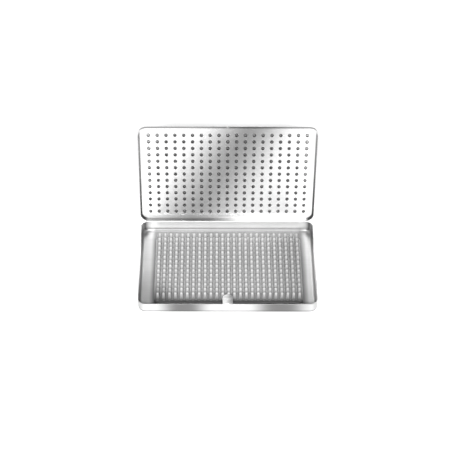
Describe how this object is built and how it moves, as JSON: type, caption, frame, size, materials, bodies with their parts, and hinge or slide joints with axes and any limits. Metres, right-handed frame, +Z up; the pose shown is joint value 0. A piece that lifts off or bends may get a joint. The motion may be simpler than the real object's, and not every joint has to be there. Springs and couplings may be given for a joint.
{
  "type": "hinged instrument tray",
  "caption": "Shallow steel instrument tray with a perforated hinged lid, a soft finger mat laid inside and a spring catch at the front.",
  "frame": {"origin": "centre of the pan's flat underside", "axes": "+X to the right along the tray's long side, +Y towards the hinges at the back, +Z up; the catch faces -Y"},
  "size_m": [0.2058, 0.1484, 0.154],
  "materials": {
    "polished_steel": "bright polished sheet",
    "hinge_steel": "satin",
    "spring_steel": "bright polished strip",
    "silicone": "satin translucent silicone"
  },
  "bodies": {
    "base": {"base_pan": "polished_steel", "finger_mat": "silicone", "hinge_base_leaf_left": "hinge_steel", "hinge_base_leaf_right": "hinge_steel", "hinge_pin_left": "hinge_steel", "hinge_pin_right": "hinge_steel"},
    "lid": {"lid_shell": "polished_steel", "hinge_lid_leaf_left": "hinge_steel", "hinge_lid_leaf_right": "hinge_steel"},
    "catch": {"catch_spring": "spring_steel", "catch_button": "spring_steel"}
  },
  "joints": [
    {"name": "lid_closing", "type": "hinge", "parent": "base", "child": "lid", "pos_m": [0, 0.0722, 0.0109], "axis": [1, 0, 0], "range_deg": [0, 90]},
    {"name": "catch_press", "type": "hinge", "parent": "base", "child": "catch", "pos_m": [0, -0.06905, 0.0049], "axis": [-1, 0, 0], "range_deg": [0, 9.5], "stiffness_Nm_per_rad": 0.1}
  ]
}
